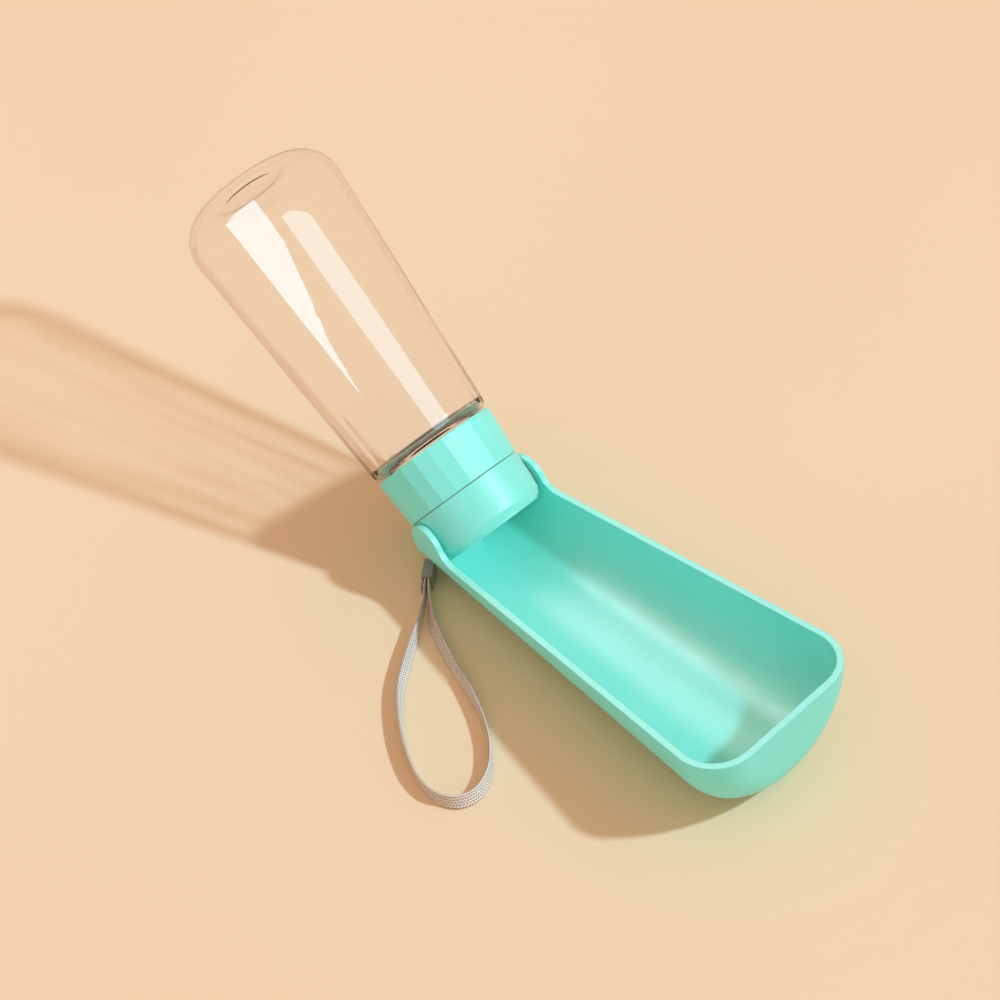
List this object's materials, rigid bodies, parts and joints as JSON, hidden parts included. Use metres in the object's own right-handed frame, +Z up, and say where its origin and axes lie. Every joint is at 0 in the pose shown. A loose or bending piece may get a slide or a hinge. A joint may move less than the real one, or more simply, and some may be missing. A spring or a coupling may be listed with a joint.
{
  "type": "dog travel water bottle",
  "caption": "Clear tapered water bottle on a twist valve cap, hinged to a long half-round drinking trough, with a hand strap.",
  "frame": {"origin": "on the flat underside of the trough, directly below the hinge axis, on the middle plane", "axes": "+Z up, +Y along the trough towards its far end, +X towards the strap's side"},
  "size_m": [0.1558, 0.3611, 0.1738],
  "materials": {
    "teal_plastic": "satin",
    "clear_plastic": "polished",
    "grey_plastic": "matte",
    "silicone": "matte",
    "white_plastic": "matte",
    "pin_steel": "brushed",
    "woven_strap": "woven",
    "sleeve_grey": "satin"
  },
  "bodies": {
    "trough": {"trough": "teal_plastic", "strap_cord": "white_plastic", "strap_sleeve": "sleeve_grey", "strap": "woven_strap"},
    "head": {"hinge_collar": "teal_plastic", "outlet_plate": "teal_plastic", "outlet_seal": "silicone", "hinge_pin_left": "pin_steel", "hinge_pin_right": "pin_steel", "hinge_washer_left": "white_plastic", "hinge_washer_right": "white_plastic", "valve_seal": "silicone"},
    "twist": {"twist_ring": "teal_plastic", "thread_liner": "grey_plastic", "valve_rotor": "grey_plastic", "rotor_o_ring": "silicone", "valve_screw": "pin_steel", "spring_washer": "pin_steel"},
    "seal": {"neck_seal": "silicone"},
    "bottle": {"bottle": "clear_plastic"}
  },
  "joints": [
    {"name": "trough_hinge", "type": "hinge", "parent": "trough", "child": "head", "pos_m": [0, 0, 0.03223], "axis": [1, 0, 0], "range_deg": [-138, 0]},
    {"name": "valve_twist", "type": "hinge", "parent": "head", "child": "twist", "pos_m": [0, 0, 0.03223], "axis": [0, -0.7856, 0.6187], "range_deg": [0, 90]},
    {"name": "bottle_lift", "type": "slide", "parent": "twist", "child": "seal", "axis": [0, -0.7856, 0.6187], "range_m": [0, 0.00166]},
    {"name": "bottle_spin", "type": "hinge", "parent": "seal", "child": "bottle", "pos_m": [0, 0, 0.03223], "axis": [0, -0.7856, 0.6187], "range_deg": [0, 150]}
  ],
  "couplings": [
    {"joint": "bottle_spin", "follows": "bottle_lift", "rad_per_m": 1570.8}
  ]
}
